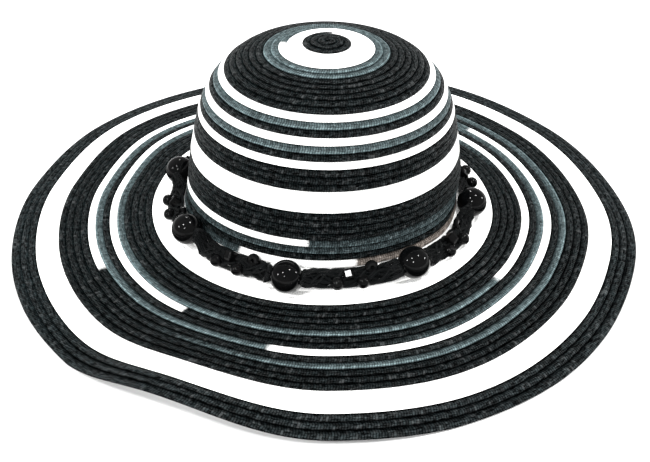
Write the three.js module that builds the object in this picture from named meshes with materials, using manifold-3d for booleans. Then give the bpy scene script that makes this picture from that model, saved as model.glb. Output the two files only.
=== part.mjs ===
// Wide-brimmed floppy sun hat: one flat spiral of straw braid sewn into a domed
// crown and a waving brim, with a string of black beads round the crown's foot.
// Millimetres, +Z up. The front of the hat faces -Y and its right side +X.
// The hat lies rim down, and the origin is the middle of its lowest level.
import * as THREE from 'three';
import { mergeVertices } from 'three/addons/utils/BufferGeometryUtils.js';
import Module from 'manifold-3d';

const wasm = await Module();
wasm.setup();

// Driving dimensions. A row is one turn of braid, counted out from the tip.
const ROW_PITCH = 4.85; // visible width of one row
const WALL = 1.8; // straw wall, two laps of braid thick
const FOOT_ROW = 35.6; // where the crown ends and the brim begins
const RIM_ROW = 59.5; // edge of the brim at the front
const RIM_TAPER = 25; // bearing in degrees over which the braid's end fades at the back
const PIECE_GAP = 0.3; // clearance between neighbouring pieces
const SETTLE = 2; // how far the three low places of the rim press flat

// Slope of the straw below level, in degrees. Between two rows it is one arc.
const PROFILE = [
  { row: 0, slope: 5 },
  { row: 4, slope: 11 },
  { row: 8, slope: 11 },
  { row: 11, slope: 16 },
  { row: 13, slope: 33 },
  { row: 15, slope: 46 },
  { row: 17, slope: 58 },
  { row: 20, slope: 72 },
  { row: 24, slope: 80.8 },
  { row: 28, slope: 79.6 },
  { row: 31, slope: 82 },
  { row: 33, slope: 82 },
  { row: 34.5, slope: 78 },
  { row: 35.5, slope: 62 },
  { row: 36.5, slope: 30 },
  { row: 38, slope: 9 },
  { row: 41, slope: 3 },
  { row: 45, slope: 1 },
  { row: 50, slope: 1 },
  { row: 56, slope: 4.2 },
  { row: 60, slope: 9.5 },
];

// Waves of the brim by compass bearing: 0 back, 90 right, 180 front, 270 left.
// Lean turns the whole brim down by so many degrees, and curl adds towards the rim.
const BRIM_WAVES = [
  { bearing: 0, lean: 4.5, curl: 5.5 },
  { bearing: 30, lean: -6.5, curl: 3 },
  { bearing: 60, lean: -6, curl: 4.5 },
  { bearing: 85, lean: -4, curl: 3 },
  { bearing: 105, lean: -6, curl: 4.5 },
  { bearing: 125, lean: -0.5, curl: 8.5 },
  { bearing: 150, lean: 6.5, curl: -3 },
  { bearing: 178, lean: 4.5, curl: -3.5 },
  { bearing: 203, lean: 6, curl: -20 },
  { bearing: 228, lean: 5.5, curl: 0 },
  { bearing: 252, lean: 6, curl: -6 },
  { bearing: 275, lean: 2.5, curl: -2.5 },
  { bearing: 300, lean: -4.5, curl: 7 },
  { bearing: 330, lean: -0.5, curl: -1 },
];
const LEAN_ROWS = { from: 35, to: 38 };
const CURL_ROWS = { from: 38, to: 58 };

// The soft crown leans: its foot sits a little behind its tip, and is wider than deep.
const CROWN_LEAN = { x: -1.5, y: 7.4, fromRow: 14, toRow: 34 };
const CROWN_OVAL = 3.4; // half the difference between the foot's width and its depth

// Dents where the string presses into the soft crown. Reach is in degrees to either side.
const DENTS = [
  { bearing: 95, reach: 35, depth: 4.6, first: 29, deepest: 35, last: 41 },
  { bearing: 282, reach: 32, depth: 4.6, first: 27, deepest: 35, last: 41 },
];

const TIP_TILT = 1.9; // rise of the top's back edge above its middle
const TIP_ROWS = 12;

const BEAD_DIAMETER = 20;
const BEAD_BORE = 6.4;
// Large beads, with the row of straw that each lies against
const BEADS = [
  { bearing: 7, row: 36.9 },
  { bearing: 55, row: 36.9 },
  { bearing: 102.8, row: 34.8 },
  { bearing: 147.2, row: 36.9 },
  { bearing: 191.8, row: 37.8 },
  { bearing: 235.4, row: 34.7 },
  { bearing: 275.8, row: 34.9 },
  { bearing: 321, row: 36.9 },
];
const BUNDLE_ROW = 36.6; // the string between them lies in the corner of crown and brim
const CORD_DIAMETER = 3; // inside a bead
const BUNDLE = { width: 13, depth: 5.6 }; // between the beads
const BUNDLE_EASE = 2.4; // degrees over which the cord opens out into the bundle
const BEAD_MARGIN = 0.4; // degrees of plain cord beside a large bead
const STRING_RADIUS = 103; // of the ring that the string makes, on average

// One cluster of small beads, repeated in every gap of the string. Shift is in
// degrees from the gap's middle, and out is in millimetres from the straw at that row.
const CLUSTER = [
  { shape: 'ball', size: 8, shift: 4.8, row: 37.7, out: 4.8 },
  { shape: 'cube', size: 6.6, shift: 0.7, row: 35.6, out: 6 },
  { shape: 'ball', size: 8, shift: -4.5, row: 37.7, out: 4.8 },
  { shape: 'disc', size: 8.4, shift: -7.8, row: 35, out: 4.6 },
];
const DISC_FLATNESS = 2.4; // a disc's width over its thickness

// Mesh fineness
const CROWN_SEGMENTS = 48;
const BRIM_SEGMENTS = 72;
const BUNDLE_SEGMENTS = 4; // in the open stretch between two large beads
const STRING_SIDES = 6;
const BEAD_SIDES = 12;
const BEAD_STEPS = 7; // from one end of the bore to the other
const DISC_SIDES = 8;
const RING_ROWS = 4.4; // a wall gets a ring for so many rows of length,
const RING_TURN = 13; // and another for so many degrees of bend
const RIM_STEP = 0.8; // rows between the rim and its nearest ring
const FINEST_DETAIL = 0.05; // smaller slivers left by a join are smoothed over
const ARC_STEP = 0.25; // rows for each step along a meridian

const radians = THREE.MathUtils.degToRad;
const ramp = (value, from, to) => THREE.MathUtils.clamp((value - from) / (to - from), 0, 1);

// Straight easing between the rows of the profile table
function profileSlope(row) {
  const next = PROFILE.findIndex((entry) => entry.row >= row);
  if (next <= 0) return PROFILE[0].slope;
  const a = PROFILE[next - 1];
  const b = PROFILE[next];
  return THREE.MathUtils.lerp(a.slope, b.slope, (row - a.row) / (b.row - a.row));
}

// Cosine easing between the bearings of the wave table
function wave(bearing, column) {
  const turned = THREE.MathUtils.euclideanModulo(bearing, 360);
  const count = BRIM_WAVES.length;
  const index = BRIM_WAVES.findLastIndex((entry) => entry.bearing <= turned);
  const a = BRIM_WAVES[index];
  const b = BRIM_WAVES[(index + 1) % count];
  const span = THREE.MathUtils.euclideanModulo(b.bearing - a.bearing, 360);
  const eased = (1 - Math.cos((Math.PI * (turned - a.bearing)) / span)) / 2;
  return THREE.MathUtils.lerp(a[column], b[column], eased);
}

function slopeAt(row, bearing) {
  const lean = wave(bearing, 'lean') * ramp(row, LEAN_ROWS.from, LEAN_ROWS.to);
  const curl = wave(bearing, 'curl') * ramp(row, CURL_ROWS.from, CURL_ROWS.to);
  return radians(profileSlope(row) + lean + curl);
}

// Radius and height along one meridian, summed up from the tip
const meridians = new Map();
function meridian(bearing) {
  if (meridians.has(bearing)) return meridians.get(bearing);
  const points = [{ radius: 0, height: 0 }];
  for (let row = 0; row < RIM_ROW + 1; row += ARC_STEP) {
    const slope = slopeAt(row + ARC_STEP / 2, bearing);
    const last = points[points.length - 1];
    points.push({
      radius: last.radius + ARC_STEP * ROW_PITCH * Math.cos(slope),
      height: last.height - ARC_STEP * ROW_PITCH * Math.sin(slope),
    });
  }
  meridians.set(bearing, points);
  return points;
}

function bearingDistance(a, b) {
  const turned = THREE.MathUtils.euclideanModulo(a - b, 360);
  return Math.min(turned, 360 - turned);
}

// How far the dents draw the straw in
function dentDepth(row, bearing) {
  return DENTS.reduce((total, dent) => {
    const rise = THREE.MathUtils.smoothstep(row, dent.first, dent.deepest);
    const fall = THREE.MathUtils.smoothstep(-row, -dent.last, -dent.deepest);
    const aside = Math.min(bearingDistance(bearing, dent.bearing) / dent.reach, 1);
    return total + dent.depth * rise * fall * Math.cos((Math.PI / 2) * aside) ** 2;
  }, 0);
}

// A point of the hat's outer face, with the tip at height 0
function outerPoint(row, bearing) {
  const points = meridian(bearing);
  const step = Math.min(Math.floor(row / ARC_STEP), points.length - 2);
  const share = row / ARC_STEP - step;
  const turn = radians(bearing);
  const low = ramp(row, CROWN_LEAN.fromRow, CROWN_LEAN.toRow);
  const round = THREE.MathUtils.lerp(points[step].radius, points[step + 1].radius, share);
  const radius = round - CROWN_OVAL * Math.cos(2 * turn) * low - dentDepth(row, bearing);
  const height = THREE.MathUtils.lerp(points[step].height, points[step + 1].height, share);
  const tilt = TIP_TILT * Math.cos(turn) * ramp(row, 0, TIP_ROWS);
  return new THREE.Vector3(
    radius * Math.sin(turn) + CROWN_LEAN.x * low,
    radius * Math.cos(turn) + CROWN_LEAN.y * low,
    height + tilt,
  );
}

// Direction out of the straw, square to the meridian
function outward(row, bearing) {
  const slope = slopeAt(row, bearing);
  const turn = radians(bearing);
  const side = row > 0 ? Math.sin(slope) : 0;
  return new THREE.Vector3(side * Math.sin(turn), side * Math.cos(turn), Math.cos(slope)).normalize();
}

// Direction up the straw along the meridian, towards the tip
function upward(row, bearing) {
  const slope = slopeAt(row, bearing);
  const turn = radians(bearing);
  return new THREE.Vector3(
    -Math.cos(slope) * Math.sin(turn),
    -Math.cos(slope) * Math.cos(turn),
    Math.sin(slope),
  );
}

// The braid is a spiral, so the rim steps out by one row in a turn, and the
// end of the braid fades into the turn before it at the back.
function rimRow(bearing) {
  const turned = THREE.MathUtils.euclideanModulo(bearing, 360);
  const fade = RIM_TAPER / 2;
  if (turned > fade && turned < 360 - fade) return RIM_ROW + turned / 360 - 0.5;
  const along = (turned < fade ? turned + fade : turned - 360 + fade) / RIM_TAPER;
  const full = 0.5 - fade / 360;
  return RIM_ROW + full * Math.cos(Math.PI * along);
}

const bearings = (count) => Array.from({ length: count }, (_, i) => (360 * i) / count);

// Level of the surface that the hat rests on, below the tip
const lowestRim = Math.min(
  ...bearings(BRIM_SEGMENTS).map(
    (bearing) => outerPoint(rimRow(bearing), bearing).z - WALL * outward(rimRow(bearing), bearing).z,
  ),
);
const FLOOR = lowestRim + SETTLE;

// Rings from one row to another, closer together where the profile bends
function ringRows(from, to) {
  const stations = [{ row: from, measure: 0 }];
  for (let row = from; row < to; row += ARC_STEP) {
    const next = Math.min(row + ARC_STEP, to);
    const bend = Math.abs(profileSlope(next) - profileSlope(row));
    const last = stations[stations.length - 1];
    stations.push({ row: next, measure: last.measure + (next - row) / RING_ROWS + bend / RING_TURN });
  }
  const total = stations[stations.length - 1].measure;
  const count = Math.ceil(total);
  return Array.from({ length: count + 1 }, (_, i) => {
    const wanted = (total * i) / count;
    const index = Math.max(1, stations.findIndex((station) => station.measure >= wanted - 1e-9));
    const a = stations[index - 1];
    const b = stations[index];
    return THREE.MathUtils.mapLinear(wanted, a.measure, b.measure, a.row, b.row);
  });
}

// The outer face and the inner face of the wall along one meridian, as one loop.
// Where the wall would sink below the floor, it lies flat on it.
function wallLoop(rows, bearing) {
  const outer = [];
  const inner = [];
  for (const row of rows) {
    const top = outerPoint(row, bearing);
    const bottom = top.clone().addScaledVector(outward(row, bearing), -WALL);
    top.z = Math.max(top.z, FLOOR + WALL);
    bottom.z = Math.max(bottom.z, FLOOR);
    outer.push(top);
    inner.unshift(bottom);
  }
  return outer.concat(inner);
}

// Joins one loop of points for each bearing into a closed skin. Loops may begin
// and end on the axis, where the collapsed triangles are left out.
function skin(loopAt, around) {
  const loops = around.map(loopAt);
  const segments = around.length;
  const count = loops[0].length;
  const positions = loops.flat().flatMap((point) => [point.x, point.y, point.z]);
  const indices = [];
  for (let j = 0; j < segments; j += 1) {
    const a = j * count;
    const b = ((j + 1) % segments) * count;
    for (let i = 0; i < count; i += 1) {
      const k = (i + 1) % count;
      indices.push(a + i, b + i, a + k, b + i, b + k, a + k);
    }
  }
  const geometry = new THREE.BufferGeometry();
  geometry.setAttribute('position', new THREE.Float32BufferAttribute(positions, 3));
  geometry.setIndex(indices);
  return welded(geometry);
}

// Merges shared corners and drops triangles that have collapsed to a line
function welded(geometry) {
  geometry.deleteAttribute('normal');
  geometry.deleteAttribute('uv');
  const merged = mergeVertices(geometry, 1e-4);
  const index = Array.from(merged.index.array);
  const kept = [];
  for (let i = 0; i < index.length; i += 3) {
    const [a, b, c] = index.slice(i, i + 3);
    if (a !== b && b !== c && c !== a) kept.push(a, b, c);
  }
  merged.setIndex(kept);
  merged.computeVertexNormals();
  return merged;
}

function toSolid(geometry) {
  const source = welded(geometry.clone());
  return new wasm.Manifold(
    new wasm.Mesh({
      numProp: 3,
      vertProperties: new Float32Array(source.attributes.position.array),
      triVerts: new Uint32Array(source.index.array),
    }),
  );
}

function fromSolid(solid) {
  const mesh = solid.getMesh();
  const geometry = new THREE.BufferGeometry();
  geometry.setAttribute('position', new THREE.Float32BufferAttribute(mesh.vertProperties, 3));
  geometry.setIndex(Array.from(mesh.triVerts));
  geometry.computeVertexNormals();
  return geometry;
}

// Domed crown, open below, whose wall starts and ends on its axis
function crownGeometry() {
  const rows = ringRows(0, FOOT_ROW);
  return skin((bearing) => wallLoop(rows, bearing), bearings(CROWN_SEGMENTS));
}

// Brim, from just outside the crown's edge to the rim
function brimGeometry() {
  const start = FOOT_ROW + PIECE_GAP / ROW_PITCH;
  return skin((bearing) => {
    const end = rimRow(bearing);
    const rows = ringRows(start, RIM_ROW - RIM_STEP).map((row) =>
      THREE.MathUtils.mapLinear(row, start, RIM_ROW - RIM_STEP, start, end - RIM_STEP),
    );
    return wallLoop([...rows, end], bearing);
  }, bearings(BRIM_SEGMENTS));
}

// The string's line is a bead's radius off the straw at each large bead, and lower between
const beadSeat = BEAD_DIAMETER / 2 + PIECE_GAP * 2;
const bundleSeat = BUNDLE.depth / 2 + PIECE_GAP * 3;
const beadHalfAngle = THREE.MathUtils.radToDeg(BEAD_DIAMETER / 2 / STRING_RADIUS);

function nearestBead(bearing) {
  return BEADS.reduce((best, bead) =>
    bearingDistance(bearing, bead.bearing) < bearingDistance(bearing, best.bearing) ? bead : best,
  );
}

// 0 inside a large bead, 1 in the open stretch between two of them
const cordEnd = beadHalfAngle + BEAD_MARGIN;
function openness(bearing) {
  const distance = bearingDistance(bearing, nearestBead(bearing).bearing);
  return THREE.MathUtils.smoothstep(distance, cordEnd, cordEnd + BUNDLE_EASE);
}

// Bearings of the gap after each large bead, from that bead to the next
function gaps() {
  return BEADS.map(({ bearing }, i) => {
    const next = BEADS[(i + 1) % BEADS.length].bearing;
    return { from: bearing, to: bearing + THREE.MathUtils.euclideanModulo(next - bearing, 360) };
  });
}

// Sections of the string: at each large bead, where it opens out, and evenly between
function stringBearings() {
  return gaps().flatMap(({ from, to }) => {
    const first = from + cordEnd;
    const last = to - cordEnd;
    const open = { from: first + BUNDLE_EASE, to: last - BUNDLE_EASE };
    const even = Array.from({ length: BUNDLE_SEGMENTS + 1 }, (_, i) =>
      THREE.MathUtils.lerp(open.from, open.to, i / BUNDLE_SEGMENTS),
    );
    return [from, first, first + BUNDLE_EASE / 2, ...even, last - BUNDLE_EASE / 2, last];
  });
}

function stringRow(bearing) {
  return THREE.MathUtils.lerp(nearestBead(bearing).row, BUNDLE_ROW, openness(bearing));
}

function stringCentre(bearing) {
  const row = stringRow(bearing);
  const seat = THREE.MathUtils.lerp(beadSeat, bundleSeat, openness(bearing));
  return outerPoint(row, bearing).addScaledVector(outward(row, bearing), seat);
}

// Section of the string, round in the beads and flat between them
function stringLoop(bearing) {
  const open = openness(bearing);
  const row = stringRow(bearing);
  const halfWidth = THREE.MathUtils.lerp(CORD_DIAMETER, BUNDLE.width, open) / 2;
  const halfDepth = THREE.MathUtils.lerp(CORD_DIAMETER, BUNDLE.depth, open) / 2;
  const centre = stringCentre(bearing);
  const up = upward(row, bearing);
  const out = outward(row, bearing);
  return Array.from({ length: STRING_SIDES }, (_, i) => {
    const turn = (2 * Math.PI * i) / STRING_SIDES;
    return centre
      .clone()
      .addScaledVector(up, halfWidth * Math.cos(turn))
      .addScaledVector(out, halfDepth * Math.sin(turn));
  });
}

const CLUSTER_SHAPES = {
  ball: (size) => new THREE.DodecahedronGeometry(size / 2),
  cube: (size) => new THREE.BoxGeometry(size, size, size),
  disc: (size) => new THREE.CylinderGeometry(size / 2, size / 2, size / DISC_FLATNESS, DISC_SIDES),
};

// A small bead stands on its row of straw, turned to face out of it
function clusterBead(entry, middle) {
  const bearing = middle + entry.shift;
  const up = upward(entry.row, bearing);
  const out = outward(entry.row, bearing);
  const along = new THREE.Vector3().crossVectors(out, up);
  const place = new THREE.Matrix4().makeBasis(along, out, up);
  place.setPosition(outerPoint(entry.row, bearing).addScaledVector(out, entry.out));
  return CLUSTER_SHAPES[entry.shape](entry.size).applyMatrix4(place);
}

// The cord bundle with its small beads, a closed ring in one piece. Its outer
// skin alone is kept, which fills any pocket shut in between touching beads.
function stringGeometry() {
  let solid = toSolid(skin(stringLoop, stringBearings()));
  for (const { from, to } of gaps()) {
    for (const entry of CLUSTER) solid = solid.add(toSolid(clusterBead(entry, (from + to) / 2)));
  }
  const skins = solid.decompose().sort((a, b) => b.volume() - a.volume());
  return fromSolid(skins[0].simplify(FINEST_DETAIL));
}

// Round bead with a bore along its Y axis
function beadGeometry() {
  const radius = BEAD_DIAMETER / 2;
  const bore = BEAD_BORE / 2;
  const first = Math.asin(bore / radius);
  const profile = [];
  for (let i = 0; i <= BEAD_STEPS; i += 1) {
    const turn = first + ((Math.PI - 2 * first) * i) / BEAD_STEPS;
    profile.push(new THREE.Vector2(radius * Math.sin(turn), -radius * Math.cos(turn)));
  }
  profile.push(profile[0].clone());
  return welded(new THREE.LatheGeometry(profile, BEAD_SIDES));
}

const STRAW = new THREE.MeshStandardMaterial({ color: 0x2f3433, roughness: 0.75, metalness: 0 });
const BRIM_STRAW = new THREE.MeshStandardMaterial({ color: 0x6f7c7d, roughness: 0.75, metalness: 0 });
const BEAD_GLOSS = new THREE.MeshStandardMaterial({ color: 0x08090a, roughness: 0.12, metalness: 0 });
const CORD_BLACK = new THREE.MeshStandardMaterial({ color: 0x151617, roughness: 0.6, metalness: 0 });

const hat = new THREE.Group();

function addPiece(name, geometry, material) {
  const mesh = new THREE.Mesh(geometry, material);
  mesh.name = name;
  hat.add(mesh);
  return mesh;
}

addPiece('crown', crownGeometry(), STRAW);
addPiece('brim', brimGeometry(), BRIM_STRAW);
addPiece('bead_string', stringGeometry(), CORD_BLACK);

const bead = beadGeometry();
const alongStep = 2;
BEADS.forEach(({ bearing }, i) => {
  const mesh = addPiece(`bead_${i + 1}`, bead, BEAD_GLOSS);
  const along = stringCentre(bearing + alongStep).sub(stringCentre(bearing - alongStep)).normalize();
  mesh.position.copy(stringCentre(bearing));
  mesh.quaternion.setFromUnitVectors(new THREE.Vector3(0, 1, 0), along);
});

// The middle of the lowest level becomes the origin
const box = new THREE.Box3().setFromObject(hat);
const middle = box.getCenter(new THREE.Vector3());
hat.position.set(-middle.x, -middle.y, -box.min.z);
hat.updateMatrixWorld(true);

export default hat;
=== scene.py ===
# Wide-brimmed floppy sun hat of sewn straw braid with a string of black beads.
# Metres, +Z up. The front of the hat faces -Y and its right side +X.
# The tables below are in millimetres, degrees and rows, and MM turns millimetres into metres.
import itertools
import math

import bmesh
import bpy
import numpy as np
from mathutils import Matrix, Vector


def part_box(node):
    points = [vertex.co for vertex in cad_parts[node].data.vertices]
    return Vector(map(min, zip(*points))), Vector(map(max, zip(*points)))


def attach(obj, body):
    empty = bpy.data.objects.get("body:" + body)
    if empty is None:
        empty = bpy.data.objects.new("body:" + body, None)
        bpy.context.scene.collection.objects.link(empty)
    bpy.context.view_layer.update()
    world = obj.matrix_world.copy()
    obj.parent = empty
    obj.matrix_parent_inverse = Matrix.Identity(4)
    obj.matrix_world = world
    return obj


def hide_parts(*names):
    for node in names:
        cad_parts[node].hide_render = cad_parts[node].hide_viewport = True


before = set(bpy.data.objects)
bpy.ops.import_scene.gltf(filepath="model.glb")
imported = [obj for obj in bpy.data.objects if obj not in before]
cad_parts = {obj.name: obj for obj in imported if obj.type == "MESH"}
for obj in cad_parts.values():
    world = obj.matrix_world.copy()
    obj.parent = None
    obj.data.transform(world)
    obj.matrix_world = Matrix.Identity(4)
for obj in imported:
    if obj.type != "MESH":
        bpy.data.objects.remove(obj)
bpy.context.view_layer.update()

MM = 0.001
BODY = "root"

# Driving dimensions. A row is one turn of braid, counted out from the tip.
ROW_PITCH = 4.85
WALL = 1.8
RIM_ROW = 59.5
RIM_TAPER = 25  # bearing in degrees over which the rim steps back by a row
SPARE_ROWS = 1.5  # of the surface beyond the rim
SETTLE = 2.0  # how far the three low places of the rim press flat
BRIM_SEGMENTS = 72  # of the brim's solid, whose rim sets where the hat stands

# Slope of the straw below level, in degrees
PROFILE = [
    {"row": 0, "slope": 5},
    {"row": 4, "slope": 11},
    {"row": 8, "slope": 11},
    {"row": 11, "slope": 16},
    {"row": 13, "slope": 33},
    {"row": 15, "slope": 46},
    {"row": 17, "slope": 58},
    {"row": 20, "slope": 72},
    {"row": 24, "slope": 80.8},
    {"row": 28, "slope": 79.6},
    {"row": 31, "slope": 82},
    {"row": 33, "slope": 82},
    {"row": 34.5, "slope": 78},
    {"row": 35.5, "slope": 62},
    {"row": 36.5, "slope": 30},
    {"row": 38, "slope": 9},
    {"row": 41, "slope": 3},
    {"row": 45, "slope": 1},
    {"row": 50, "slope": 1},
    {"row": 56, "slope": 4.2},
    {"row": 60, "slope": 9.5},
]

# Waves of the brim by compass bearing: 0 back, 90 right, 180 front, 270 left
BRIM_WAVES = [
    {"bearing": 0, "lean": 4.5, "curl": 5.5},
    {"bearing": 30, "lean": -6.5, "curl": 3},
    {"bearing": 60, "lean": -6, "curl": 4.5},
    {"bearing": 85, "lean": -4, "curl": 3},
    {"bearing": 105, "lean": -6, "curl": 4.5},
    {"bearing": 125, "lean": -0.5, "curl": 8.5},
    {"bearing": 150, "lean": 6.5, "curl": -3},
    {"bearing": 178, "lean": 4.5, "curl": -3.5},
    {"bearing": 203, "lean": 6, "curl": -20},
    {"bearing": 228, "lean": 5.5, "curl": 0},
    {"bearing": 252, "lean": 6, "curl": -6},
    {"bearing": 275, "lean": 2.5, "curl": -2.5},
    {"bearing": 300, "lean": -4.5, "curl": 7},
    {"bearing": 330, "lean": -0.5, "curl": -1},
]
LEAN_ROWS = (35, 38)
CURL_ROWS = (38, 58)
CROWN_LEAN = (-1.5, 7.4)  # how far the crown's foot lies from below its tip, to the right and back
CROWN_LEAN_ROWS = (14, 34)
CROWN_OVAL = 3.4  # half the difference between the foot's width and its depth

# Dents where the string presses into the soft crown. Reach is in degrees to either side.
DENTS = [
    {"bearing": 95, "reach": 35, "depth": 4.6, "first": 29, "deepest": 35, "last": 41},
    {"bearing": 282, "reach": 32, "depth": 4.6, "first": 27, "deepest": 35, "last": 41},
]
TIP_TILT = 1.9  # rise of the top's back edge above its middle
TIP_ROWS = (0, 12)

# The seams between rows, as seen at the front: how far seam number n lies past row n
SEAM_SHIFTS = [
    {"seam": 0, "shift": 0.1},
    {"seam": 3, "shift": 0.2},
    {"seam": 6, "shift": 0.33},
    {"seam": 9, "shift": 0.35},
    {"seam": 12, "shift": 0.05},
    {"seam": 35, "shift": 0.04},
    {"seam": 40, "shift": 0.21},
    {"seam": 58.35, "shift": 0.21},
    {"seam": 58.65, "shift": 0.46},
    {"seam": 60, "shift": 0.46},
]
FIRST_TURN = -0.9
CROWN_TURN = 34.6  # where the crown's run of braid ends and the brim's begins
LAST_TURN = 58.535
END_TAPER = 0.07  # turns over which the braid's end narrows
END_WIDTH = 0.1  # share of the width left at its very end
TIP_HOLE = 0.03  # rows that the braid's start keeps from the tip's middle
TIP_FAN = 0.02  # and how far its section spreads there

# The braid's section: across is 0 at a row's inner seam and 1 at its outer edge,
# and height is in millimetres above the hat's outer face
BRAID_TOP = [
    {"across": -0.3, "height": -1.3},
    {"across": 0.0, "height": -0.8},
    {"across": 0.16, "height": -0.48},
    {"across": 0.42, "height": -0.1},
    {"across": 0.68, "height": 0.12},
    {"across": 0.86, "height": 0.14},
    {"across": 0.97, "height": -0.08},
    {"across": 1.01, "height": -0.42},
]
BRAID_UNDER = [
    {"across": 0.94, "height": -0.78},
    {"across": 0.4, "height": -1.15},
    {"across": -0.3, "height": -1.72},
]
LENGTH_POINT = 4  # of BRAID_TOP, along which the braid's length is measured
BRAID_STEP = 2.7  # length of one step along the braid
FEWEST_STEPS = 30  # in one turn near the tip

# Dyes of the straw, in linear light, and one white with painted shade
DYES = {
    "black": (0.0022, 0.0037, 0.004),
    # a paler black, which the brim's outer rows have
    "paler_black": (0.0046, 0.0068, 0.0073),
    "dark": (0.024, 0.034, 0.036),
    "grey": (0.046, 0.064, 0.067),
    # white straw darkened to beige, as painted shade where it lies in shadow
    "shaded_white": (0.125, 0.107, 0.094),
    "white": (0.9, 0.9, 0.89),
}

# Runs of dye along the braid. Each starts at a bearing of a row, counted at the
# front, and fades in over so many degrees.
DYE_RUNS = [
    {"row": 3, "bearing": 5, "dye": "white", "fade": 2},
    {"row": 5, "bearing": 275, "dye": "grey", "fade": 8},
    {"row": 8, "bearing": 0, "dye": "black", "fade": 30},
    {"row": 14, "bearing": 24, "dye": "white", "fade": 1},
    {"row": 15, "bearing": 12, "dye": "grey", "fade": 1},
    {"row": 15, "bearing": 340, "dye": "black", "fade": 20},
    {"row": 16, "bearing": 346, "dye": "white", "fade": 1},
    {"row": 17, "bearing": 338, "dye": "grey", "fade": 1},
    {"row": 18, "bearing": 340, "dye": "black", "fade": 20},
    {"row": 20, "bearing": 18, "dye": "white", "fade": 1},
    {"row": 21, "bearing": 32, "dye": "black", "fade": 1},
    {"row": 23, "bearing": 335, "dye": "white", "fade": 1},
    {"row": 26, "bearing": 348, "dye": "black", "fade": 1},
    {"row": 31, "bearing": 60, "dye": "dark", "fade": 60},
    {"row": 31, "bearing": 185.8, "dye": "white", "fade": 1},
    {"row": 31, "bearing": 344, "dye": "dark", "fade": 1},
    {"row": 33, "bearing": 10, "dye": "black", "fade": 10},
    # row 34 on the right: white straw with painted shade
    {"row": 34, "bearing": 22, "dye": "shaded_white", "fade": 1},
    {"row": 34, "bearing": 166, "dye": "white", "fade": 2},
    {"row": 34, "bearing": 213, "dye": "dark", "fade": 1},
    {"row": 34, "bearing": 340, "dye": "white", "fade": 1},
    {"row": 40, "bearing": 20, "dye": "black", "fade": 1},
    {"row": 42, "bearing": 338, "dye": "grey", "fade": 1},
    {"row": 43, "bearing": 46, "dye": "black", "fade": 28},
    {"row": 44, "bearing": 14, "dye": "white", "fade": 1},
    {"row": 44, "bearing": 126.5, "dye": "grey", "fade": 2},
    {"row": 44, "bearing": 350, "dye": "black", "fade": 20},
    {"row": 45, "bearing": 214.5, "dye": "white", "fade": 1},
    {"row": 46, "bearing": 18, "dye": "grey", "fade": 1},
    {"row": 46, "bearing": 110, "dye": "black", "fade": 60},
    {"row": 46, "bearing": 336, "dye": "grey", "fade": 1},
    {"row": 47, "bearing": 50, "dye": "white", "fade": 1},
    {"row": 47, "bearing": 190.5, "dye": "grey", "fade": 1},
    {"row": 48, "bearing": 8, "dye": "black", "fade": 20},
    {"row": 48, "bearing": 241, "dye": "white", "fade": 1},
    {"row": 48, "bearing": 334, "dye": "grey", "fade": 1},
    {"row": 49, "bearing": 170, "dye": "black", "fade": 50},
    {"row": 53, "bearing": 20, "dye": "white", "fade": 1},
    {"row": 55, "bearing": 342, "dye": "paler_black", "fade": 1},
]

# Painted shade of the seams, darkening the straw's colour where shade falls. It is full at the front and
# shallow behind, and grows from the first to the second bearing on either side. Each turn of the braid
# shows a share of it.
DEEP_PAINTED_SEAM_SHADE = {"right": (70, 110), "left": (245, 222)}
SHALLOW_PAINTED_SEAM_SHADE = 0.1
PAINTED_SEAM_SHADE_SHARES = [
    {"turn": 2, "share": 0.2},
    {"turn": 6, "share": 0.65},
    {"turn": 35, "share": 0.65},
    {"turn": 38, "share": 1},
]

# Bead string, in the corner between crown and brim
BEAD_DIAMETER = 20
BEADS = [
    {"bearing": 7, "row": 36.9},
    {"bearing": 55, "row": 36.9},
    {"bearing": 102.8, "row": 34.8},
    {"bearing": 147.2, "row": 36.9},
    {"bearing": 191.8, "row": 37.8},
    {"bearing": 235.4, "row": 34.7},
    {"bearing": 275.8, "row": 34.9},
    {"bearing": 321, "row": 36.9},
]
BEAD_AIM = 2  # degrees to either side of a bead between which its bore points
BUNDLE_ROW = 36.6  # row of straw that the string lies on between the beads
BEAD_SEAT = 10.6  # height of the string's middle above the straw, inside a bead
BUNDLE_SEAT = 3.7  # and between the beads
BUNDLE_HALF = {"wide": 6.5, "deep": 2.8}
STRING_RADIUS = 103  # of the ring that the string makes, on average
BEAD_MARGIN = 0.4  # degrees of low string beside a large bead
BUNDLE_EASE = 2.4  # degrees over which the cords fan out into the bundle
BUNDLE_START = 3.5  # degrees from a bead's middle, inside its bore, where they start to
CORD_RADIUS = 0.8
CORD_GATHER = 0.5  # how far the cords' middles stand from the string's inside a bead
CORD_SIDES = 6
CORD_STEP = 1.0  # degrees
SWAY_WAVES = (17, 29)  # bends of the first cord in one turn of the string, slow and quick

# Cords of the bundle in layers, with the turns that each layer makes all the way round
CORD_LAYERS = [
    {"cords": 5, "spread": 0.4, "twists": 7, "sway": 0.25},
    {"cords": 10, "spread": 0.8, "twists": -9, "sway": 0.3},
    {"cords": 11, "spread": 1.0, "twists": 9, "sway": 0.45},
]

# Small beads in each gap: shift in degrees from its middle, the row of straw that each
# stands on and how far out from it. In degrees, turn is about the outward direction,
# lift tips the face up the crown and swing turns it along the string.
CLUSTER = [
    {"shape": "ball", "size": 8, "shift": 5.2, "row": 37.8, "out": 5.4, "turn": 20, "lift": 0, "swing": 0},
    {
        "shape": "cube", "size": 6.6, "shift": 1, "row": 35.6, "out": 6.4,
        "turn": 8, "lift": 9.3, "swing": -12.9,
    },
    {"shape": "ball", "size": 8, "shift": -3.6, "row": 37.8, "out": 5.4, "turn": 75, "lift": 0, "swing": 0},
    {"shape": "disc", "size": 8.4, "shift": -7.8, "row": 35, "out": 4.6, "turn": 10, "lift": 0, "swing": 0},
]

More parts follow.
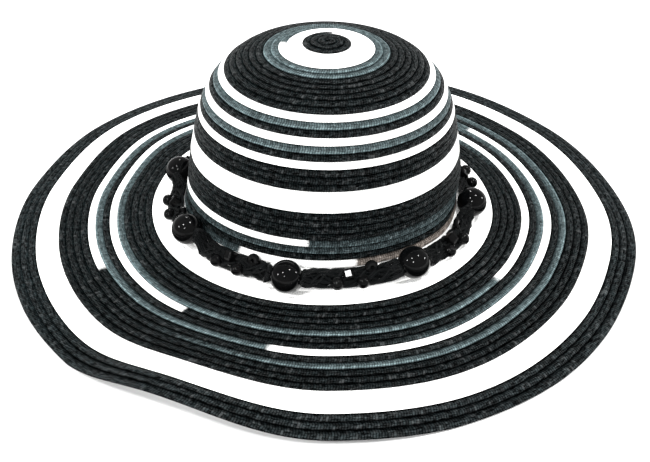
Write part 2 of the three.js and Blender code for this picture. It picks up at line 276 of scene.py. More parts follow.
# Form of the beads. Levels and reaches are shares of half a bead's size, and the
# disc's levels are shares of half its thickness.
BORE = 1.3  # radius
BORE_LIP = 0.35  # how far the bore's edge is broken
CUBE_FACE = [
    {"level": 1.0, "reach": 0.52},
    {"level": 0.9, "reach": 0.85},
]
CUBE_FLATNESS = 0.02  # radians between faces that count as one
DISC_THICKNESS = 0.4  # over its width
DISC_LIP = 0.9  # level at the bore
DISC_FACE = [
    {"reach": 0.7, "level": 1.0},
    {"reach": 0.93, "level": 0.75},
    {"reach": 1.0, "level": 0.3},
]
SMOOTH_ANGLE = 50  # edges sharper than this stay crisp
FACET_ANGLE = 15  # and on the small beads

# Straw's pattern. Scales and grains say how often a noise changes in one row pitch
# along the braid and on the way across it.
STRANDS_PER_PITCH = 3.2
STRAND_BANDS = 2.0  # legs of the strands' zigzag on the way across
STRAND_LEAN = 0.4  # strand widths that a leg leans by
STRAND_WOBBLE = 0.5  # strand widths
STRAND_ROUNDING = 2.4  # power of a strand's rounded section, higher is flatter
WOBBLE_SCALE = 1.7
DRIFT_SCALE = 0.35
# scale of the painted glints, light specks added to the straw's colour
PAINTED_GLINT_SCALE = 0.9
FIBRE_GRAIN = (26.0, 5.0, 1.0)
STRIP_GRAIN = (1.3, 5.5, 1.0)
STRAW_RELIEF = {"weave": 0.6, "strips": 1.2, "fibre": 0.25}
STRAW_DEPTH = 0.0008  # of the relief, in metres

# Spans of the straw's look: from where to where a value is read and, if not 0 and 1,
# what it gives at either end. Light is the dye's, and across runs as in the section.
STRAW_SPANS = {
    "pale by light": (0.03, 0.6),
    "weave by tuck": (0.0, 0.5, 0.55, 1.0),
    # painted shade in a row's inner crease: where across the row it lies, and how deep it is by the dye's
    # paleness
    "crease by across": (0.02, 0.58),
    "crease by pale": (0.0, 1.0, 0.85, 0.0),
    # painted shade at a row's outer edge, and the paleness above which it is left out
    "fall by across": (0.88, 1.0, 0.0, 0.65),
    "no fall by pale": (0.2, 0.6),
    # painted highlight along the greys' outer edge: where across the row it lies, and the dye lightnesses
    # that carry it
    "edge by across": (0.74, 0.84),
    "edge from light": (0.01, 0.03),
    "edge to light": (0.04, 0.12, 1.5, 0.2),
    "patches by dark": (0.008, 0.05, 0.85, 0.4),
    "patches by light": (0.15, 0.6, 1.0, 0.06),
    "gap by pale": (0.0, 0.6, 0.3, 0.93),
    "tone": (0.0, 1.0, -0.7, 1.2),
    "drift": (0.3, 0.7, 0.8, 1.2),
    "streak": (0.34, 0.66, -0.85, 1.1),
    # painted glints: light specks added to the straw's colour
    "painted_glint": (0.42, 0.6, 0.0, 0.03),
    "sheen": (0.38, 0.62, 0.02, 0.26),
    "roughness": (0.3, 0.7, 0.36, 0.6),
    "relief by light": (0.2, 0.6, 1.0, 0.4),
}
TICK_SPAN = (0.15, 0.75)  # of the weave, from between strands to a strand's middle
TICK_LIGHT = 1.22

# Polished beads. Colours are in linear light, clean and smeared, scales are in waves
# to the metre, and the depth of the waviness is in metres.
GLOSS_COLOURS = [(0.001, 0.0011, 0.0013, 1), (0.0035, 0.0035, 0.0035, 1)]
SMEAR_SCALE = 90.0
SMEAR_SPAN = (0.35, 0.7)
GLOSS_ROUGHNESS = (0.3, 0.75, 0.05, 0.12)
GLOSS_SPECULAR = 0.08
GLOSS_WAVES = {"scale": 160.0, "depth": 0.0001, "strength": 0.3}

# Cord. Its pattern runs in millimetres along it and in shares of a turn round it, and
# the depth of its threads is in metres.
CORD_COLOURS = [(0.0004, 0.0005, 0.0006, 1), (0.009, 0.0105, 0.011, 1)]
CORD_LAY = {"along": 1.1, "around": 3.0}  # threads in a millimetre, and round the cord
FUZZ_SCALE = 9.0
CORD_ROUGHNESS = (0.3, 0.7, 0.3, 0.55)
CORD_SPECULAR = 0.07
CORD_THREADS = {"depth": 0.0003, "strength": 0.8}

# Camera, as fitted to the photographed view
IMAGE_WIDTH = 650
CAMERA_TARGET_DROP = 106.7  # below the tip
CAMERA_DISTANCE = 549
CAMERA_ELEVATION = 32.26
CAMERA_ROLL = 1.12
FOCAL_PIXELS = 791.7
SENSOR = 36  # width
PRINCIPAL_SHIFT = (1.04, -46.4)  # of the view's middle from the lens's axis, in pixels

# Lamps far off: bearing from the front and elevation they shine from, and strength
LAMPS = [
    {"name": "lamp_overhead", "azimuth": 88, "elevation": 67, "strength": 2.0},
    {"name": "lamp_left", "azimuth": -41, "elevation": 60, "strength": 1.8},
    {"name": "lamp_low_left", "azimuth": -68, "elevation": 30, "strength": 1.3},
    {"name": "lamp_front", "azimuth": -12, "elevation": 38, "strength": 1.3},
    {"name": "lamp_low_right", "azimuth": 98, "elevation": 22, "strength": 1.3},
    {"name": "lamp_behind", "azimuth": 190, "elevation": 50, "strength": 1.0},
]
LAMP_SIZE = 4.5  # apparent size in degrees
SKY = 0.7  # strength of the even white light all round
FLOOR_HALF = 12.0  # half the floor's width, in metres
FLOOR_TONES = (0.3, 0.7, 0.84, 0.87)  # a span of noise and the greys at its ends


def ramp(value, span):
    """0 at the span's first value, 1 at its second, which may be the smaller one."""
    return np.clip((value - span[0]) / (span[1] - span[0]), 0, 1)


def smoothed(share):
    return share * share * (3 - 2 * share)


def blend(a, b, share):
    return a + (b - a) * share


def column(table, name):
    return np.array([entry[name] for entry in table], float)


def wave(bearing, name):
    """Cosine easing between the bearings of the wave table."""
    starts = column(BRIM_WAVES, "bearing")
    values = column(BRIM_WAVES, name)
    turned = np.mod(bearing, 360)
    index = np.searchsorted(starts, turned, side="right") - 1
    following = (index + 1) % len(starts)
    span = np.mod(starts[following] - starts[index], 360)
    eased = (1 - np.cos(np.pi * (turned - starts[index]) / span)) / 2
    return blend(values[index], values[following], eased)


def bearing_gap(a, b):
    turned = np.mod(a - b, 360)
    return np.minimum(turned, 360 - turned)


def dents(row, bearing):
    """How far the dents draw the straw in, in millimetres."""
    total = 0
    for dent in DENTS:
        rise = ramp(row, (dent["first"], dent["deepest"])) * ramp(row, (dent["last"], dent["deepest"]))
        aside = np.clip(bearing_gap(bearing, dent["bearing"]) / dent["reach"], 0, 1)
        total = total + dent["depth"] * smoothed(rise) * np.cos(np.pi / 2 * aside) ** 2
    return total


class Straw:
    """The hat's outer face as a fine grid over rows and bearings."""

    ROW_STEP = 0.25
    BEARING_STEP = 1.5

    def __init__(self):
        rows = np.arange(0, RIM_ROW + SPARE_ROWS, self.ROW_STEP)
        bearings = np.arange(0, 360 + self.BEARING_STEP / 2, self.BEARING_STEP)
        middle = self.slope_at(rows[:-1, None] + self.ROW_STEP / 2, bearings[None, :])
        step = self.ROW_STEP * ROW_PITCH
        start = np.zeros((1, len(bearings)))
        radius = np.vstack([start, np.cumsum(step * np.cos(middle), 0)])
        height = np.vstack([start, np.cumsum(-step * np.sin(middle), 0)])
        turn = np.radians(bearings)[None, :]
        low = ramp(rows, CROWN_LEAN_ROWS)[:, None]
        radius = radius - CROWN_OVAL * np.cos(2 * turn) * low
        radius = radius - dents(rows[:, None], bearings[None, :])
        tilt = TIP_TILT * np.cos(turn) * ramp(rows, TIP_ROWS)[:, None]
        self.points = np.stack(
            [
                radius * np.sin(turn) + CROWN_LEAN[0] * low,
                radius * np.cos(turn) + CROWN_LEAN[1] * low,
                height + tilt,
            ],
            axis=-1,
        )
        self.shift = np.zeros(3)

    @staticmethod
    def slope_at(row, bearing):
        profile = np.interp(row, column(PROFILE, "row"), column(PROFILE, "slope"))
        lean = wave(bearing, "lean") * ramp(row, LEAN_ROWS)
        curl = wave(bearing, "curl") * ramp(row, CURL_ROWS)
        return np.radians(profile + lean + curl)

    def point(self, row, bearing):
        """Points of the outer face, in the frame's millimetres."""
        last_row, last_bearing = self.points.shape[0] - 1, self.points.shape[1] - 1
        across = np.clip(np.asarray(row, float) / self.ROW_STEP, 0, last_row)
        around = np.mod(np.asarray(bearing, float), 360) / self.BEARING_STEP
        i = np.minimum(across.astype(int), last_row - 1)
        j = np.minimum(around.astype(int), last_bearing - 1)
        a = (across - i)[..., None]
        b = (around - j)[..., None]
        lower = blend(self.points[i, j], self.points[i, j + 1], b)
        upper = blend(self.points[i + 1, j], self.points[i + 1, j + 1], b)
        return blend(lower, upper, a) + self.shift

    def outward(self, row, bearing):
        """Directions square to the outer face."""
        slope = self.slope_at(row, bearing)
        turn = np.radians(bearing)
        return np.stack([np.sin(slope) * np.sin(turn), np.sin(slope) * np.cos(turn), np.cos(slope)], -1)

    def upward(self, row, bearing):
        """Directions along the outer face, towards the tip."""
        slope = self.slope_at(row, bearing)
        turn = np.radians(bearing)
        return np.stack([-np.cos(slope) * np.sin(turn), -np.cos(slope) * np.cos(turn), np.sin(slope)], -1)


def rim_row(bearing):
    """The rim steps out by one row in a turn, and back again behind the crown."""
    half = RIM_TAPER / 2
    spiral = RIM_ROW + bearing / 360 - 0.5
    behind = np.mod(bearing + half, 360) / RIM_TAPER
    faded = RIM_ROW + (0.5 - half / 360) * np.cos(np.pi * np.minimum(behind, 1))
    return np.where(behind < 1, faded, spiral)


def place_straw():
    """Builds the surface and stands it where the frame's rim and floor are."""
    straw = Straw()
    around = np.arange(BRIM_SEGMENTS) * 360 / BRIM_SEGMENTS
    rows = rim_row(around)
    outer = straw.point(rows, around)
    under = outer - WALL * straw.outward(rows, around)
    rim = np.concatenate([outer, under])
    low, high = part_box("brim")
    middle = np.array((low + high) / 2) / MM
    straw.shift[:2] = (middle - (rim.min(0) + rim.max(0)) / 2)[:2]
    straw.shift[2] = -(under[:, 2].min() + SETTLE)
    return straw


straw = place_straw()


def seam_row(turn):
    """Row of the surface at which a seam lies, for the braid's running turn."""
    return turn + np.interp(turn, column(SEAM_SHIFTS, "seam"), column(SEAM_SHIFTS, "shift"))


def bearing_of(turns):
    return np.mod(turns * 360 + 180, 360)


def turns_between(first, last):
    """Stations along the braid, in turns, about one step apart."""
    radii = np.hypot(straw.points[:, 0, 0], straw.points[:, 0, 1])
    rows = np.arange(len(radii)) * straw.ROW_STEP
    turns = [first]
    while turns[-1] < last:
        radius = max(np.interp(turns[-1] + 0.5, rows, radii), ROW_PITCH)
        turns.append(turns[-1] + min(1 / FEWEST_STEPS, BRAID_STEP / (2 * math.pi * radius)))
    turns[-1] = last
    return np.array(turns)


def dye_colours(turns):
    colours = np.tile(np.array(DYES["black"]), (len(turns), 1))
    for run in DYE_RUNS:
        start = run["row"] + (run["bearing"] - 180) / 360
        share = ramp(turns, (start, start + run["fade"] / 360))[:, None]
        colours = blend(colours, np.array(DYES[run["dye"]]), share)
    return colours


# Depth of the painted seam shade along the braid, full at the front and shallow behind
def seam_depth(turns):
    bearing = bearing_of(turns)
    front = ramp(bearing, DEEP_PAINTED_SEAM_SHADE["right"]) * ramp(bearing, DEEP_PAINTED_SEAM_SHADE["left"])
    share = np.interp(turns, column(PAINTED_SEAM_SHADE_SHARES, "turn"), column(PAINTED_SEAM_SHADE_SHARES, "share"))
    return blend(SHALLOW_PAINTED_SEAM_SHADE, 1, front) * share


def mesh_object(name, points, faces, material, smooth_angle=SMOOTH_ANGLE):
    mesh = bpy.data.meshes.new(name)
    mesh.from_pydata((np.asarray(points) * MM).tolist(), [], faces)
    mesh.validate()
    mesh.shade_smooth()
    mesh.set_sharp_from_angle(angle=math.radians(smooth_angle))
    mesh.materials.append(material)
    piece = bpy.data.objects.new(name, mesh)
    bpy.context.scene.collection.objects.link(piece)
    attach(piece, BODY)
    return piece


def write_uv(mesh, name, uv):
    """Gives each corner of the mesh its point's place on the pattern."""
    corner = np.zeros(len(mesh.loops), int)
    mesh.loops.foreach_get("vertex_index", corner)
    mesh.uv_layers.new(name=name).data.foreach_set("uv", uv[corner].ravel())


def skin_faces(stations, around, closed):
    """Quads between neighbouring section loops, with caps unless the row of loops closes."""
    faces = []
    for j in range(stations if closed else stations - 1):
        a = j * around
        b = (j + 1) % stations * around
        for i in range(around):
            k = (i + 1) % around
            faces.append((a + i, b + i, b + k, a + k))
    if not closed:
        last = (stations - 1) * around
        faces.append(tuple(range(around)))
        faces.append(tuple(last + i for i in reversed(range(around))))
    return faces


def braid(name, first, last, material):
    """One run of the sewn braid, a ribbon whose rows lap over each other."""
    turns = turns_between(first, last)
    section = BRAID_TOP + BRAID_UNDER
    across = column(section, "across")[None, :]
    height = column(section, "height")[None, :]
    inner = np.maximum(seam_row(turns), 0)[:, None]
    outer = seam_row(turns + 1)[:, None]
    width = (outer - inner) * np.clip((LAST_TURN - turns) / END_TAPER, END_WIDTH, 1)[:, None]
    rows = np.maximum(inner + across * width, TIP_HOLE + TIP_FAN * (across - across.min()))
    bearing = np.broadcast_to(bearing_of(turns)[:, None], rows.shape)
    points = straw.point(rows, bearing)
    points[..., 2] = np.maximum(points[..., 2], WALL)
    points = points + straw.outward(rows, bearing) * height[..., None]
    points[..., 2] = np.maximum(points[..., 2], 0)
    count = len(section)
    piece = mesh_object(name, points.reshape(-1, 3), skin_faces(len(turns), count, False), material)
    steps = np.linalg.norm(np.diff(points[:, LENGTH_POINT], axis=0), axis=1)
    length = np.concatenate([[0], np.cumsum(steps)]) / ROW_PITCH
    write_uv(piece.data, "braid", np.stack([np.repeat(length, count), np.tile(across[0], len(turns))], -1))
    # The dye attribute holds the dye's colour and, as alpha, the depth of the painted seam shade
    dye = np.column_stack([dye_colours(turns), seam_depth(turns)])
    painted = piece.data.attributes.new("dye", "FLOAT_COLOR", "POINT")
    painted.data.foreach_set("color", np.repeat(dye, count, axis=0).ravel())
    return piece


class Shader:
    """Shorthand for building a node material."""

    def __init__(self, name):
        self.material = bpy.data.materials.new(name)
        self.material.use_nodes = True
        self.nodes = self.material.node_tree.nodes
        self.links = self.material.node_tree.links
        self.principled = self.nodes["Principled BSDF"]

    def node(self, kind, settings=(), **inputs):
        node = self.nodes.new("ShaderNode" + kind)
        for name, value in dict(settings).items():
            setattr(node, name, value)
        for name, value in inputs.items():
            self.feed(node, name.replace("_", " "), value)
        return node

    def feed(self, node, name, value):
        socket = node.inputs[int(name)] if name.isdigit() else node.inputs[name]
        if isinstance(value, bpy.types.NodeSocket):
            self.links.new(value, socket)
        else:
            socket.default_value = value

    def math(self, operation, *values):
        node = self.nodes.new("ShaderNodeMath")
        node.operation = operation
        for i, value in enumerate(values):
            self.feed(node, str(i), value)
        return node.outputs[0]

    def spread(self, value, low, high, to_low=0.0, to_high=1.0, smooth=False):
        node = self.nodes.new("ShaderNodeMapRange")
        node.interpolation_type = "SMOOTHSTEP" if smooth else "LINEAR"
        for name, given in zip(
            ("Value", "From Min", "From Max", "To Min", "To Max"), (value, low, high, to_low, to_high)
        ):
            self.feed(node, name, given)
        return node.outputs["Result"]

    def noise(self, vector, scale, detail=2.0, roughness=0.5):
        node = self.node("TexNoise", Vector=vector, Scale=scale, Detail=detail, Roughness=roughness)
        return node.outputs["Fac"]

    def stretched(self, vector, factors):
        node = self.node("VectorMath", {"operation": "MULTIPLY"})
        self.feed(node, "0", vector)
        self.feed(node, "1", factors)
        return node.outputs[0]

    def mix(self, share, first, second):
        node = self.node("Mix", {"data_type": "RGBA"})
        self.feed(node, "0", share)
        self.feed(node, "6", first)
        self.feed(node, "7", second)
        return node.outputs[2]

    def bump(self, height, distance, strength):
        node = self.node("Bump", Height=height, Distance=distance, Strength=strength)
        self.links.new(node.outputs["Normal"], self.principled.inputs["Normal"])

    def set(self, **inputs):
        for name, value in inputs.items():
            self.feed(self.principled, name.replace("_", " "), value)


def straw_material(name):
    """Dyed straw strands that zigzag across the braid, darker between strands, with painted shade in the
    seams, a painted highlight on the greys' outer edge and painted glints.
    """
    s = Shader(name)
    span = STRAW_SPANS
    uv = s.node("UVMap", {"uv_map": "braid"}).outputs["UV"]
    along, across, _ = s.node("SeparateXYZ", Vector=uv).outputs
    painted = s.node("Attribute", {"attribute_name": "dye"}).outputs
    dye = painted["Color"]
    # Alpha of the dye attribute: depth of the painted seam shade
    seam = painted["Alpha"]
    light = s.node("SeparateColor", {"mode": "HSV"}, Color=dye).outputs[2]
    pale = s.spread(light, *span["pale by light"])

    # Strands counted along the braid, each a rounded ridge that tucks under at both ends
    band = s.math("MULTIPLY", across, STRAND_BANDS)
    lean = s.math("MULTIPLY", s.math("PINGPONG", band, 1.0), STRAND_LEAN)
    wobble = s.math("MULTIPLY", s.noise(uv, WOBBLE_SCALE), STRAND_WOBBLE)
    counted = s.math("MULTIPLY_ADD", along, STRANDS_PER_PITCH, wobble)
    counted = s.math("ADD", counted, lean)
    within = s.math("ABSOLUTE", s.math("MULTIPLY_ADD", s.math("FRACT", counted), 2.0, -1.0))
    ridge = s.math("SUBTRACT", 1.0, s.math("POWER", within, STRAND_ROUNDING))
    tuck = s.math("ABSOLUTE", s.math("SINE", s.math("MULTIPLY", across, math.pi * STRAND_BANDS)))
    weave = s.math("MULTIPLY", ridge, s.spread(tuck, *span["weave by tuck"], smooth=True))

    # Noises: fine fibres, long strips, and one tone for each strand
    fibre = s.noise(s.stretched(uv, FIBRE_GRAIN), 1.0, 4.0, 0.6)
    strips = s.noise(s.stretched(uv, STRIP_GRAIN), 1.0, 1.0)
    cell = s.node("CombineXYZ", X=s.math("FLOOR", counted), Y=s.math("FLOOR", band)).outputs[0]
    tone = s.node("TexWhiteNoise", {"noise_dimensions": "2D"}, Vector=cell).outputs["Value"]

    # Painted shade in the seams: dark straw's colour is darkened in the inner crease and at the outer edge
    crease = s.spread(across, *span["crease by across"], smooth=True)
    deep = s.math("MULTIPLY", s.spread(pale, *span["crease by pale"]), seam)
    shade = s.math("SUBTRACT", 1.0, s.math("MULTIPLY", deep, s.math("SUBTRACT", 1.0, crease)))
    painted_edge_shade = s.math("MULTIPLY", s.spread(across, *span["fall by across"]), seam)
    painted_edge_shade = s.math("SUBTRACT", 1.0, painted_edge_shade)
    shade = s.math("MULTIPLY", shade, s.math("MAXIMUM", painted_edge_shade, s.spread(pale, *span["no fall by pale"])))

    # Painted highlight: the greys' colour is lightened along the outer edge
    grey = s.spread(light, *span["edge from light"])
    grey = s.math("MULTIPLY", grey, s.spread(light, *span["edge to light"]))
    edge = s.math("MULTIPLY", s.spread(across, *span["edge by across"], smooth=True), grey)
    shade = s.math("MULTIPLY", shade, s.math("ADD", 1.0, edge))

    # Unevenness of the dye, strongest where it is dark; ticks, darker between strands and lighter on their
    # middles; and painted glints, light specks in the colour
    patchy = s.spread(light, *span["patches by dark"])
    patchy = s.math("MULTIPLY", patchy, s.spread(light, *span["patches by light"]))
    ticks = s.spread(weave, *TICK_SPAN, s.spread(pale, *span["gap by pale"]), TICK_LIGHT)
    tones = s.math("MULTIPLY_ADD", s.spread(tone, *span["tone"]), patchy, 1.0)
    drift = s.spread(s.noise(uv, DRIFT_SCALE, 3.0), *span["drift"])
    streak = s.math("MULTIPLY_ADD", s.spread(strips, *span["streak"]), patchy, 1.0)
    painted_glint = s.spread(s.math("MULTIPLY", tone, s.noise(uv, PAINTED_GLINT_SCALE)), *span["painted_glint"])

    # The dye's colour times the painted shade and highlight, the ticks and the dye's unevenness
    factor = s.math("MULTIPLY", s.math("MULTIPLY", shade, ticks), s.math("MULTIPLY", tones, drift))
    factor = s.math("MULTIPLY", factor, streak)
    tinted = s.node("VectorMath", {"operation": "MULTIPLY_ADD"})
    s.feed(tinted, "0", dye)
    s.feed(tinted, "1", factor)
    # painted glints are added to the colour, kept out of the crease
    s.feed(tinted, "2", s.math("MULTIPLY", painted_glint, crease))
    sheen = s.math("MULTIPLY", s.math("MULTIPLY", crease, weave), s.spread(strips, *span["sheen"]))
    s.set(Base_Color=tinted.outputs[0], Specular_IOR_Level=sheen)
    s.set(Roughness=s.spread(fibre, *span["roughness"]))
    relief = s.math("MULTIPLY", fibre, STRAW_RELIEF["fibre"])
    relief = s.math("MULTIPLY_ADD", strips, STRAW_RELIEF["strips"], relief)
    relief = s.math("MULTIPLY_ADD", weave, STRAW_RELIEF["weave"], relief)
    s.bump(relief, STRAW_DEPTH, s.spread(light, *span["relief by light"]))
    return s.material


def gloss_material(name):
    """Polished black acrylic with faint smears and waviness."""
    s = Shader(name)
    place = s.node("TexCoord").outputs["Object"]
    smear = s.noise(place, SMEAR_SCALE, 4.0, 0.6)
    colour = s.mix(s.spread(smear, *SMEAR_SPAN), *GLOSS_COLOURS)
    s.set(Base_Color=colour, Roughness=s.spread(smear, *GLOSS_ROUGHNESS))
    s.set(Specular_IOR_Level=GLOSS_SPECULAR)
    s.bump(s.noise(place, GLOSS_WAVES["scale"], 1.0), GLOSS_WAVES["depth"], GLOSS_WAVES["strength"])
    return s.material


def cord_material(name):
    """Waxed black cord, twisted from fine threads."""
    s = Shader(name)
    uv = s.node("UVMap", {"uv_map": "cord"}).outputs["UV"]
    along, around, _ = s.node("SeparateXYZ", Vector=uv).outputs
    lay = s.math("MULTIPLY", along, CORD_LAY["along"])
    lay = s.math("ADD", lay, s.math("MULTIPLY", around, CORD_LAY["around"]))
    thread = s.math("ABSOLUTE", s.math("SINE", s.math("MULTIPLY", lay, math.pi)))
    fuzz = s.noise(uv, FUZZ_SCALE, 3.0, 0.6)
    colour = s.mix(s.math("MULTIPLY", thread, fuzz), *CORD_COLOURS)
    s.set(Base_Color=colour, Roughness=s.spread(fuzz, *CORD_ROUGHNESS))
    s.set(Specular_IOR_Level=CORD_SPECULAR)
    s.bump(thread, CORD_THREADS["depth"], CORD_THREADS["strength"])
    return s.material


def bead_gaps(bearing):
    """How far these bearings lie from that of each large bead."""
    return bearing_gap(np.asarray(bearing, float)[..., None], column(BEADS, "bearing"))


def openness(bearing, start):
    """0 inside a large bead, 1 in the open stretch between two of them."""
    return smoothed(np.clip((bead_gaps(bearing).min(-1) - start) / BUNDLE_EASE, 0, 1))


def string_openness(bearing):
    return openness(bearing, math.degrees(BEAD_DIAMETER / 2 / STRING_RADIUS) + BEAD_MARGIN)


def string_row(bearing):
    nearest = bead_gaps(bearing).argmin(-1)
    return blend(column(BEADS, "row")[nearest], BUNDLE_ROW, string_openness(bearing))


def string_centre(bearing):
    """Centreline of the string at these bearings."""
    row = string_row(bearing)
    seat = blend(BEAD_SEAT, BUNDLE_SEAT, string_openness(bearing))
    return straw.point(row, bearing) + straw.outward(row, bearing) * np.asarray(seat)[..., None]


def tube(centres, radius, sides):
    """Section loops of a closed tube along these centres."""
    ahead = np.roll(centres, -1, 0) - np.roll(centres, 1, 0)
    ahead /= np.linalg.norm(ahead, axis=1)[:, None]
    side = np.cross(ahead, (0, 0, 1.0))
    side /= np.linalg.norm(side, axis=1)[:, None]
    up = np.cross(side, ahead)
    turn = 2 * np.pi * np.arange(sides) / sides
    ring = side[:, None] * np.cos(turn)[None, :, None] + up[:, None] * np.sin(turn)[None, :, None]
    return centres[:, None] + radius * ring


def cord_path(layer, i):
    """Middle line of one cord, which winds and sways round the string's line."""
    bearing = np.arange(0, 360, CORD_STEP)
    turn = np.radians(bearing)
    share = openness(bearing, BUNDLE_START)
    half_up = blend(CORD_GATHER, BUNDLE_HALF["wide"] - CORD_RADIUS, share) * layer["spread"]
    half_out = blend(CORD_GATHER, BUNDLE_HALF["deep"] - CORD_RADIUS, share) * layer["spread"]
    phase = 2 * np.pi * i / layer["cords"]
    slow, quick = SWAY_WAVES
    sway = np.sin((slow + i) * turn + 2 * phase) + np.sin((quick - i) * turn + phase)
    wound = phase + layer["twists"] * turn + layer["sway"] * sway
    row = string_row(bearing)
    up = straw.upward(row, bearing) * (half_up * np.cos(wound))[:, None]
    out = straw.outward(row, bearing) * (half_out * np.sin(wound))[:, None]
    return string_centre(bearing) + up + out


def cord_bundle():
    """Thin cords that wind round one another between the beads and run together through them."""
    points, faces, uvs = [], [], []
    for layer in CORD_LAYERS:
        for i in range(layer["cords"]):
            middle = cord_path(layer, i)
            count = len(middle)
            offset = len(points) * count * CORD_SIDES
            loops = tube(middle, CORD_RADIUS, CORD_SIDES)
            faces += [tuple(offset + v for v in face) for face in skin_faces(count, CORD_SIDES, True)]
            points.append(loops.reshape(-1, 3))
            along = np.repeat(np.arange(count) * math.radians(CORD_STEP) * STRING_RADIUS, CORD_SIDES)
            around = np.tile(np.arange(CORD_SIDES) / CORD_SIDES, count)
            uvs.append(np.stack([along, around], -1))
    return np.concatenate(points), faces, np.concatenate(uvs)


def lathe(profile, sides):
    """Turns (radius, height) points round Z into a closed ring of section loops."""
    turn = 2 * np.pi * np.arange(sides) / sides
    loops = [[(r * math.cos(t), r * math.sin(t), h) for r, h in profile] for t in turn]
    return np.array(loops).reshape(-1, 3), skin_faces(sides, len(profile), True)


def round_bead(diameter, sides=40, steps=20):
    radius = diameter / 2
    first = math.asin((BORE + BORE_LIP) / radius)
    angles = [first + (math.pi - 2 * first) * i / steps for i in range(steps + 1)]
    outside = [(radius * math.sin(a), radius * math.cos(a)) for a in angles]
    end = radius * math.cos(first)
    inside = [(BORE, -end + BORE_LIP), (BORE, end - BORE_LIP)]
    return lathe(outside + inside, sides)


def box_bead(size):
    """A cube with cut corners, whose faces slope up to a smaller flat in the middle."""
    half = size / 2
    signs = (-1, 1)
    corners = []
    for axis, sign, cut, u, v in itertools.product(range(3), signs, CUBE_FACE, signs, signs):
        corner = [0, 0, 0]
        corner[axis] = sign * half * cut["level"]
        corner[(axis + 1) % 3] = u * half * cut["reach"]
        corner[(axis + 2) % 3] = v * half * cut["reach"]
        corners.append(corner)
    shape = bmesh.new()
    for corner in corners:
        shape.verts.new(corner)
    bmesh.ops.convex_hull(shape, input=shape.verts)
    bmesh.ops.dissolve_limit(shape, angle_limit=CUBE_FLATNESS, verts=shape.verts, edges=shape.edges)
    shape.verts.ensure_lookup_table()
    shape.verts.index_update()
    points = np.array([v.co for v in shape.verts])
    faces = [tuple(v.index for v in face.verts) for face in shape.faces]
    shape.free()
    return points, faces


def disc_bead(size, sides=28):
    radius = size / 2
    half = radius * DISC_THICKNESS
    upper = [(BORE, half * DISC_LIP)]
    upper += [(radius * entry["reach"], half * entry["level"]) for entry in DISC_FACE]
    lower = [(r, -h) for r, h in reversed(upper)]
    return lathe(upper + lower, sides)


SHAPES = {"ball": round_bead, "cube": box_bead, "disc": disc_bead}


def placed(points, origin, x, y, z):
    """Points given along the directions x, y and z from the origin."""
    return points @ np.stack([x, y, z]) + origin


def rotated(a, b, angle):
    """Turns two square directions in their own plane, the first towards the second."""
    turn = math.radians(angle)
    return a * math.cos(turn) + b * math.sin(turn), b * math.cos(turn) - a * math.sin(turn)


def unit(vector):
    return vector / np.linalg.norm(vector)


def large_beads(material):
    for i, bead in enumerate(BEADS):
        bearing = bead["bearing"]
        points, faces = round_bead(BEAD_DIAMETER)
        along = unit(string_centre(bearing + BEAD_AIM) - string_centre(bearing - BEAD_AIM))
        side = unit(np.cross(along, straw.outward(bead["row"], bearing)))
        points = placed(points, string_centre(bearing), side, np.cross(along, side), along)
        name = f"bead_{i + 1}"
        piece = mesh_object("round_" + name, points, faces, material)
        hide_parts(name)


def gap_middles():
    bearings = [bead["bearing"] for bead in BEADS]
    following = bearings[1:] + [bearings[0] + 360]
    return [(a + b) / 2 for a, b in zip(bearings, following)]


def small_beads(material):
    points, faces, count = [], [], 0
    for middle in gap_middles():
        for entry in CLUSTER:
            bearing = middle + entry["shift"]
            shape, shape_faces = SHAPES[entry["shape"]](entry["size"])
            up = straw.upward(entry["row"], bearing)
            out = straw.outward(entry["row"], bearing)
            along = np.cross(up, out)
            facing, lifted = rotated(out, up, entry["lift"])
            facing, swung = rotated(facing, along, entry["swing"])
            x, y = rotated(swung, lifted, entry["turn"])
            origin = straw.point(entry["row"], bearing) + out * entry["out"]
            # A ball is strung along the string, and the others face outward
            basis = (y, facing, x) if entry["shape"] == "ball" else (x, y, facing)
            points.append(placed(shape, origin, *basis))
            faces += [tuple(count + v for v in face) for face in shape_faces]
            count += len(shape)
    piece = mesh_object("small_beads", np.concatenate(points), faces, material, FACET_ANGLE)


def bead_string(gloss, cord):
    points, faces, uvs = cord_bundle()
    bundle = mesh_object("cord_bundle", points, faces, cord)
    write_uv(bundle.data, "cord", uvs)
    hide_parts("bead_string")
    small_beads(gloss)
    large_beads(gloss)


def floor():
    mesh = bpy.data.meshes.new("floor")
    corners = [(x * FLOOR_HALF, y * FLOOR_HALF, 0) for x, y in ((-1, -1), (1, -1), (1, 1), (-1, 1))]
    mesh.from_pydata(corners, [], [(0, 1, 2, 3)])
    s = Shader("pale_floor")
    place = s.node("TexCoord").outputs["Object"]
    tone = s.spread(s.noise(place, 3.0, 3.0), *FLOOR_TONES)
    grey = s.node("CombineColor", Red=tone, Green=tone, Blue=tone).outputs[0]
    s.set(Base_Color=grey, Roughness=0.9, Specular_IOR_Level=0.1)
    mesh.materials.append(s.material)
    piece = bpy.data.objects.new("floor", mesh)
    bpy.context.scene.collection.objects.link(piece)


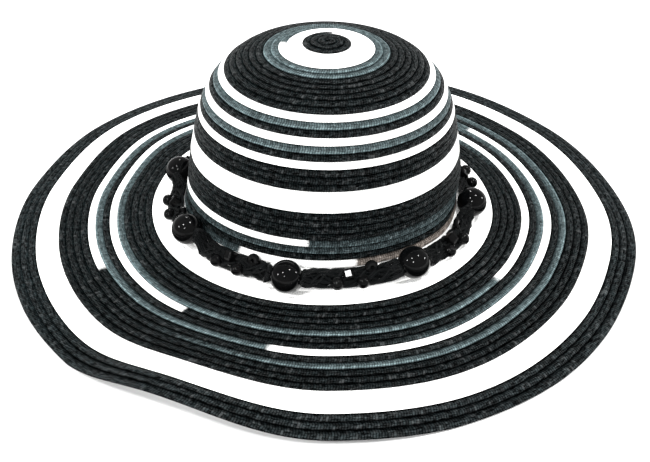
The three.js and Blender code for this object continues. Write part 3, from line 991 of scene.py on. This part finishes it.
def studio():
    for entry in LAMPS:
        data = bpy.data.lights.new(entry["name"], "SUN")
        data.energy = entry["strength"]
        data.angle = math.radians(LAMP_SIZE)
        lamp = bpy.data.objects.new(entry["name"], data)
        azimuth = math.radians(entry["azimuth"])
        elevation = math.radians(entry["elevation"])
        shine = Vector((
            math.sin(azimuth) * math.cos(elevation),
            -math.cos(azimuth) * math.cos(elevation),
            math.sin(elevation),
        ))
        lamp.rotation_euler = shine.to_track_quat("Z", "Y").to_euler()
        bpy.context.scene.collection.objects.link(lamp)
    world = bpy.data.worlds.new("studio")
    world.use_nodes = True
    background = world.node_tree.nodes["Background"]
    background.inputs["Color"].default_value = (1, 1, 1, 1)
    background.inputs["Strength"].default_value = SKY
    bpy.context.scene.world = world
    bpy.context.scene.view_settings.view_transform = "Standard"


def camera():
    elevation = math.radians(CAMERA_ELEVATION)
    tip = Vector(straw.shift) * MM
    target = tip - Vector((0, 0, CAMERA_TARGET_DROP * MM))
    back = Vector((0, -math.cos(elevation), math.sin(elevation)))
    data = bpy.data.cameras.new("camera")
    data.sensor_width = SENSOR
    data.lens = FOCAL_PIXELS / IMAGE_WIDTH * SENSOR
    data.shift_x = -PRINCIPAL_SHIFT[0] / IMAGE_WIDTH
    data.shift_y = PRINCIPAL_SHIFT[1] / IMAGE_WIDTH
    eye = bpy.data.objects.new("camera", data)
    turn = back.to_track_quat("Z", "Y").to_matrix().to_4x4()
    roll = Matrix.Rotation(math.radians(CAMERA_ROLL), 4, "Z")
    eye.matrix_world = Matrix.Translation(target + back * CAMERA_DISTANCE * MM) @ turn @ roll
    bpy.context.scene.collection.objects.link(eye)
    bpy.context.scene.camera = eye


camera()
straw_look = straw_material("dyed_straw")
crown_braid = braid("crown_braid", FIRST_TURN, CROWN_TURN, straw_look)
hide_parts("crown")
brim_braid = braid("brim_braid", CROWN_TURN, LAST_TURN, straw_look)
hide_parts("brim")
bead_string(gloss_material("polished_black"), cord_material("waxed_cord"))
floor()
studio()

bpy.context.view_layer.update()
